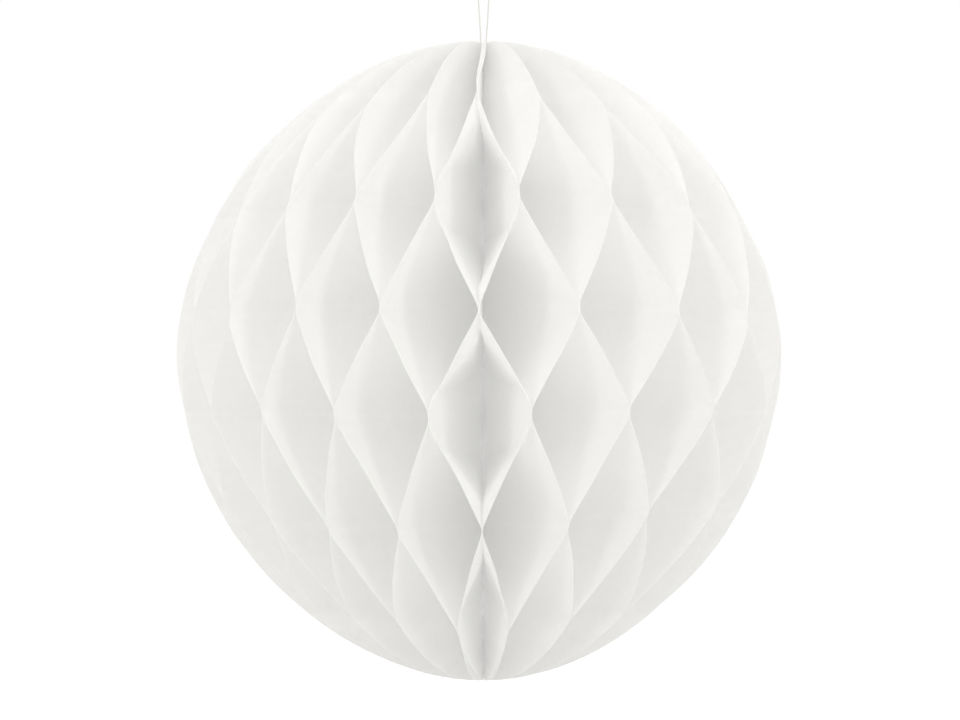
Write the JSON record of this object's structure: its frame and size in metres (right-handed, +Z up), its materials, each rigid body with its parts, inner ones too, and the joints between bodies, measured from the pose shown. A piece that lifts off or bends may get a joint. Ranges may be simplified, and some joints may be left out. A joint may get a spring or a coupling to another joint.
{
  "type": "honeycomb paper ball",
  "caption": "Hanging honeycomb ball of white tissue leaves, glued on alternating level lines and opened round a spine into rows of diamond cells, with a thread loop at the top.",
  "frame": {"origin": "middle of the ball, on the spine where the straight edges of the leaves meet", "axes": "+Z up along the spine towards the hanging thread, -Y towards the front, where the first and the last leaf meet"},
  "size_m": [0.1888, 0.1894, 0.2352],
  "materials": {
    "tissue": "thin soft white tissue, matt and translucent",
    "thread": "twisted white cotton thread, matt"
  },
  "bodies": {
    "root": {"tissue_leaf_01": "tissue", "tissue_leaf_02": "tissue", "tissue_leaf_03": "tissue", "tissue_leaf_04": "tissue", "tissue_leaf_05": "tissue", "tissue_leaf_06": "tissue", "tissue_leaf_07": "tissue", "tissue_leaf_08": "tissue", "tissue_leaf_09": "tissue", "tissue_leaf_10": "tissue", "tissue_leaf_11": "tissue", "tissue_leaf_12": "tissue", "tissue_leaf_13": "tissue", "tissue_leaf_14": "tissue", "tissue_leaf_15": "tissue", "tissue_leaf_16": "tissue", "tissue_leaf_17": "tissue", "tissue_leaf_18": "tissue", "tissue_leaf_19": "tissue", "tissue_leaf_20": "tissue", "tissue_leaf_21": "tissue", "tissue_leaf_22": "tissue", "tissue_leaf_23": "tissue", "tissue_leaf_24": "tissue", "tissue_leaf_25": "tissue", "tissue_leaf_26": "tissue", "tissue_leaf_27": "tissue", "tissue_leaf_28": "tissue", "tissue_leaf_29": "tissue", "tissue_leaf_30": "tissue", "tissue_leaf_31": "tissue", "tissue_leaf_32": "tissue", "tissue_leaf_33": "tissue", "tissue_leaf_34": "tissue", "tissue_leaf_35": "tissue", "tissue_leaf_36": "tissue", "tissue_leaf_37": "tissue", "tissue_leaf_38": "tissue", "tissue_leaf_39": "tissue", "tissue_leaf_40": "tissue", "hanging_thread": "thread"}
  },
  "joints": []
}
